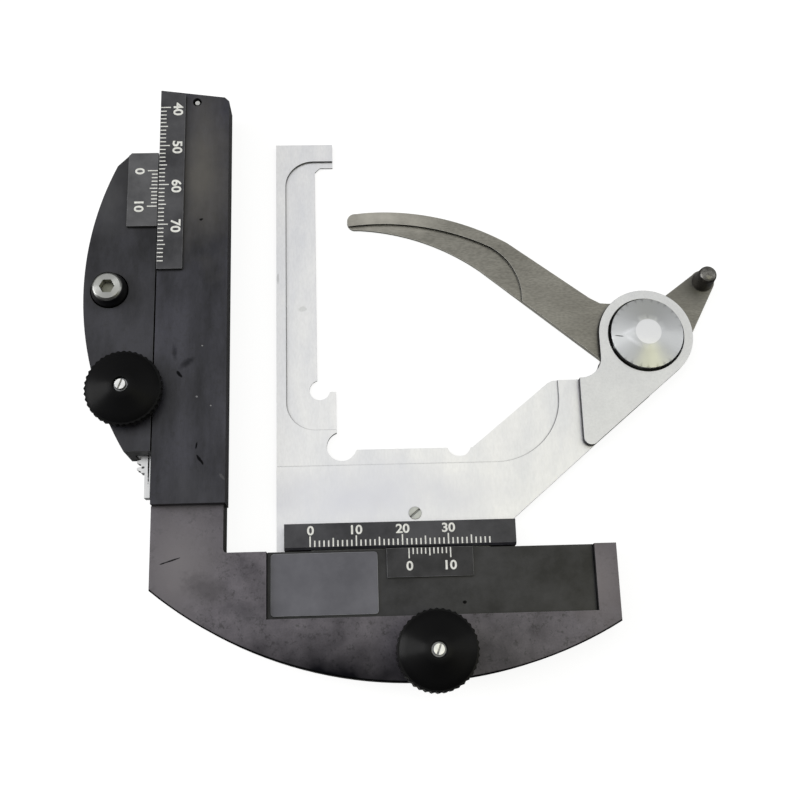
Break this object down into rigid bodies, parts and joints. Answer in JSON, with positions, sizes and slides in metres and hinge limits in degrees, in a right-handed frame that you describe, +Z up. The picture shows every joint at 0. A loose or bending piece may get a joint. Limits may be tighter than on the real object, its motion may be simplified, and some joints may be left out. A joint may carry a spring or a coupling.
{
  "type": "mechanical microscope stage",
  "caption": "Attachable mechanical microscope stage: clamp base, scaled sliding arm and cross frame with knobs, and a specimen holder with a sprung clip.",
  "frame": {"origin": "centre of the bounding box, on the underside of the clamp base where it meets the stage", "axes": "+X along the cross scale towards the clip, +Y along the arm away from the cross frame, +Z up out of the stage"},
  "size_m": [0.1468, 0.1412, 0.021],
  "materials": {
    "black_enamel": "satin black enamel",
    "grey_enamel": "worn semi-gloss grey enamel",
    "scale_plate": "black anodised with white marks",
    "blank_plate": "grey anodised, bare",
    "knob_black": "turned and black anodised",
    "holder_steel": "satin nickel plated",
    "clip_steel": "dull grey finish",
    "turned_steel": "turned bright",
    "machined_steel": "machined",
    "screw_steel": "bright screws",
    "pin_black": "glossy black"
  },
  "bodies": {
    "base": {"base_housing": "black_enamel", "arm_vernier_plate": "scale_plate", "arm_knob_bush": "black_enamel", "pinion_plate": "machined_steel", "pinion_plate_screws": "screw_steel"},
    "clamp_collar": {"clamp_collar": "black_enamel"},
    "clamp_screw": {"clamp_screw": "turned_steel", "clamp_retaining_ring": "machined_steel"},
    "cross_frame": {"frame_casting": "grey_enamel", "arm_bar": "black_enamel", "arm_screws": "screw_steel", "arm_stop_pin": "turned_steel", "arm_scale_plate": "scale_plate", "guide_rail": "machined_steel", "arm_rack": "machined_steel", "rail_screws": "screw_steel", "frame_bottom_plate": "machined_steel", "bottom_plate_screws": "screw_steel", "guide_cover": "black_enamel", "cover_screws": "screw_steel", "blank_plate": "blank_plate", "cross_vernier_plate": "scale_plate", "cross_knob_bush": "black_enamel"},
    "arm_knob": {"arm_pinion_shaft": "machined_steel", "arm_knob": "knob_black", "arm_knob_screw": "screw_steel"},
    "cross_knob": {"cross_pinion_shaft": "machined_steel", "cross_knob": "knob_black", "cross_knob_screw": "screw_steel"},
    "holder": {"cross_slider": "machined_steel", "cross_rack": "machined_steel", "cross_rack_screws": "screw_steel", "cross_scale_block": "black_enamel", "block_screws": "screw_steel", "holder_plate": "holder_steel", "holder_screws": "screw_steel", "level_screw": "screw_steel", "clip_lug": "holder_steel", "lug_screws": "screw_steel", "spring_pin": "screw_steel", "clip_spring": "clip_steel"},
    "clip": {"clip_finger": "clip_steel", "clip_pivot": "machined_steel", "clip_cap": "turned_steel", "thumb_pin": "pin_black"}
  },
  "joints": [
    {"name": "clamp_drop", "type": "slide", "parent": "base", "child": "clamp_collar", "axis": [0, 0, 1], "range_m": [-0.0035, 0]},
    {"name": "clamp_turn", "type": "hinge", "parent": "clamp_collar", "child": "clamp_screw", "pos_m": [-0.06757, 0.01995, 0], "axis": [0, 0, 1], "continuous": true},
    {"name": "arm_slide", "type": "slide", "parent": "base", "child": "cross_frame", "axis": [0, 1, 0], "range_m": [-0.0165, 0.0135]},
    {"name": "arm_knob_turn", "type": "hinge", "parent": "base", "child": "arm_knob", "pos_m": [-0.06305, -0.00405, 0], "axis": [0, 0, 1], "range_deg": [-380, 312]},
    {"name": "holder_slide", "type": "slide", "parent": "cross_frame", "child": "holder", "axis": [1, 0, 0], "range_m": [-0.0086, 0.0214]},
    {"name": "cross_knob_turn", "type": "hinge", "parent": "cross_frame", "child": "cross_knob", "pos_m": [0.00313, -0.06205, 0], "axis": [0, 0, 1], "range_deg": [-308, 125]},
    {"name": "clip_turn", "type": "hinge", "parent": "holder", "child": "clip", "pos_m": [0.05543, 0.0091, 0.0018], "axis": [0, 0, -1], "range_deg": [0, 45], "stiffness_Nm_per_rad": 0.03, "springref_deg": -57.3}
  ],
  "couplings": [
    {"joint": "arm_knob_turn", "follows": "arm_slide", "rad_per_m": 400},
    {"joint": "cross_knob_turn", "follows": "holder_slide", "rad_per_m": -250}
  ]
}
